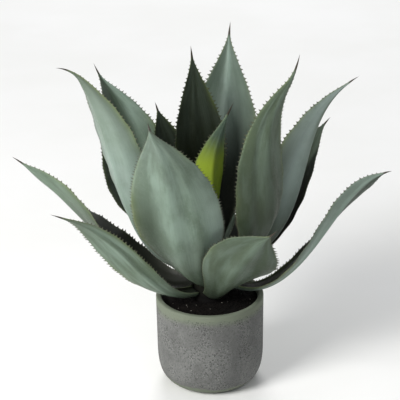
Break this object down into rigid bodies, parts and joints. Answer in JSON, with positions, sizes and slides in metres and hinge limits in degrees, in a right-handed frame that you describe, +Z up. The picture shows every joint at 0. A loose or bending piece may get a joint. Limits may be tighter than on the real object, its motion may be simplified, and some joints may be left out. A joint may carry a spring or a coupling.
{
  "type": "potted agave",
  "caption": "Rosette of broad blue-green agave leaves with toothed margins and dark end spines, growing from a short stem in a round concrete pot of soil.",
  "frame": {"origin": "middle of the pot's foot, on the surface that it stands on", "axes": "+Z up along the pot's axis, -Y towards the plant's front, +X to the right seen from the front"},
  "size_m": [0.5367, 0.4561, 0.523],
  "materials": {
    "concrete": "matte",
    "soil": "matte",
    "stem": "matte",
    "leaf": "matte"
  },
  "bodies": {
    "root": {"pot": "concrete", "soil": "soil", "stem": "stem", "leaf_left_low": "leaf", "leaf_left_front_low": "leaf", "leaf_front_right_low": "leaf", "leaf_right_low": "leaf", "leaf_front": "leaf", "leaf_left": "leaf", "leaf_left_back": "leaf", "leaf_right": "leaf", "leaf_right_back": "leaf", "leaf_right_front": "leaf", "leaf_back": "leaf", "leaf_back_left": "leaf", "leaf_back_left_small": "leaf", "leaf_heart": "leaf", "leaf_back_middle": "leaf", "leaf_back_right_low": "leaf", "leaf_back_low": "leaf"}
  },
  "joints": []
}
